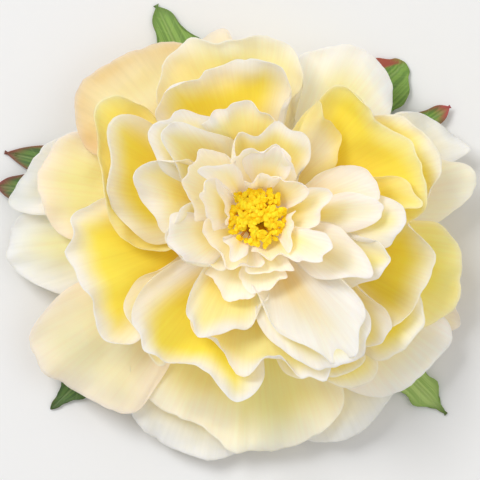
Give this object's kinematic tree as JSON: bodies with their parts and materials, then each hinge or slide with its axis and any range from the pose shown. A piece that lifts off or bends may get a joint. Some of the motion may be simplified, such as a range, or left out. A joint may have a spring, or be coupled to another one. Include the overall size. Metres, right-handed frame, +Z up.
{
  "type": "peony flower",
  "caption": "Double peony flower head, face up, with broad guard petals, ruffled yellow and cream inner petals, a cushion of yellow stamens and leaf tips behind.",
  "frame": {"origin": "middle of the head's footprint, on the surface that it rests on", "axes": "+Z up out of the flower's face, +X and +Y across it, with the top leaf towards +Y"},
  "size_m": [0.147, 0.1398, 0.0608],
  "materials": {
    "guard_petal": "soft matte petal, cream to tan with peach rims",
    "outer_petal": "soft matte petal, yellow with pale rims",
    "middle_petal": "soft matte petal, cream with white rims",
    "inner_petal": "soft matte petal, pinkish white",
    "leaf": "matte green leaf with reddish margins",
    "stem": "fresh green stem with a pale cut end",
    "receptacle": "matte green",
    "carpel": "dark red-brown, satin",
    "stamen": "powdery bright yellow"
  },
  "bodies": {
    "root": {"carpels": "carpel", "guard_petal_01": "guard_petal", "guard_petal_02": "guard_petal", "guard_petal_03": "guard_petal", "guard_petal_04": "guard_petal", "guard_petal_05": "guard_petal", "guard_petal_06": "guard_petal", "guard_petal_07": "guard_petal", "guard_petal_08": "guard_petal", "guard_petal_09": "guard_petal", "guard_petal_10": "guard_petal", "guard_petal_11": "guard_petal", "guard_petal_12": "guard_petal", "guard_petal_13": "guard_petal", "guard_petal_14": "guard_petal", "guard_petal_15": "guard_petal", "inner_petal_01": "inner_petal", "inner_petal_02": "inner_petal", "inner_petal_03": "inner_petal", "inner_petal_04": "inner_petal", "inner_petal_05": "inner_petal", "inner_petal_06": "inner_petal", "inner_petal_07": "inner_petal", "inner_petal_08": "inner_petal", "inner_petal_09": "inner_petal", "leaf_left_lower": "leaf", "leaf_left_upper": "leaf", "leaf_lower_left": "leaf", "leaf_lower_right": "leaf", "leaf_right": "leaf", "leaf_top": "leaf", "leaf_upper_right": "leaf", "middle_petal_01": "middle_petal", "middle_petal_02": "middle_petal", "middle_petal_03": "middle_petal", "middle_petal_04": "middle_petal", "middle_petal_05": "middle_petal", "middle_petal_06": "middle_petal", "middle_petal_07": "middle_petal", "middle_petal_08": "middle_petal", "middle_petal_09": "middle_petal", "middle_petal_10": "middle_petal", "middle_petal_11": "middle_petal", "middle_petal_12": "middle_petal", "middle_petal_13": "middle_petal", "outer_petal_01": "outer_petal", "outer_petal_02": "outer_petal", "outer_petal_03": "outer_petal", "outer_petal_04": "outer_petal", "outer_petal_05": "outer_petal", "outer_petal_06": "outer_petal", "outer_petal_07": "outer_petal", "outer_petal_08": "outer_petal", "outer_petal_09": "outer_petal", "outer_petal_10": "outer_petal", "outer_petal_11": "outer_petal", "outer_petal_12": "outer_petal", "receptacle": "receptacle", "stamen_boss": "stamen", "stem_stub": "stem"}
  },
  "joints": []
}
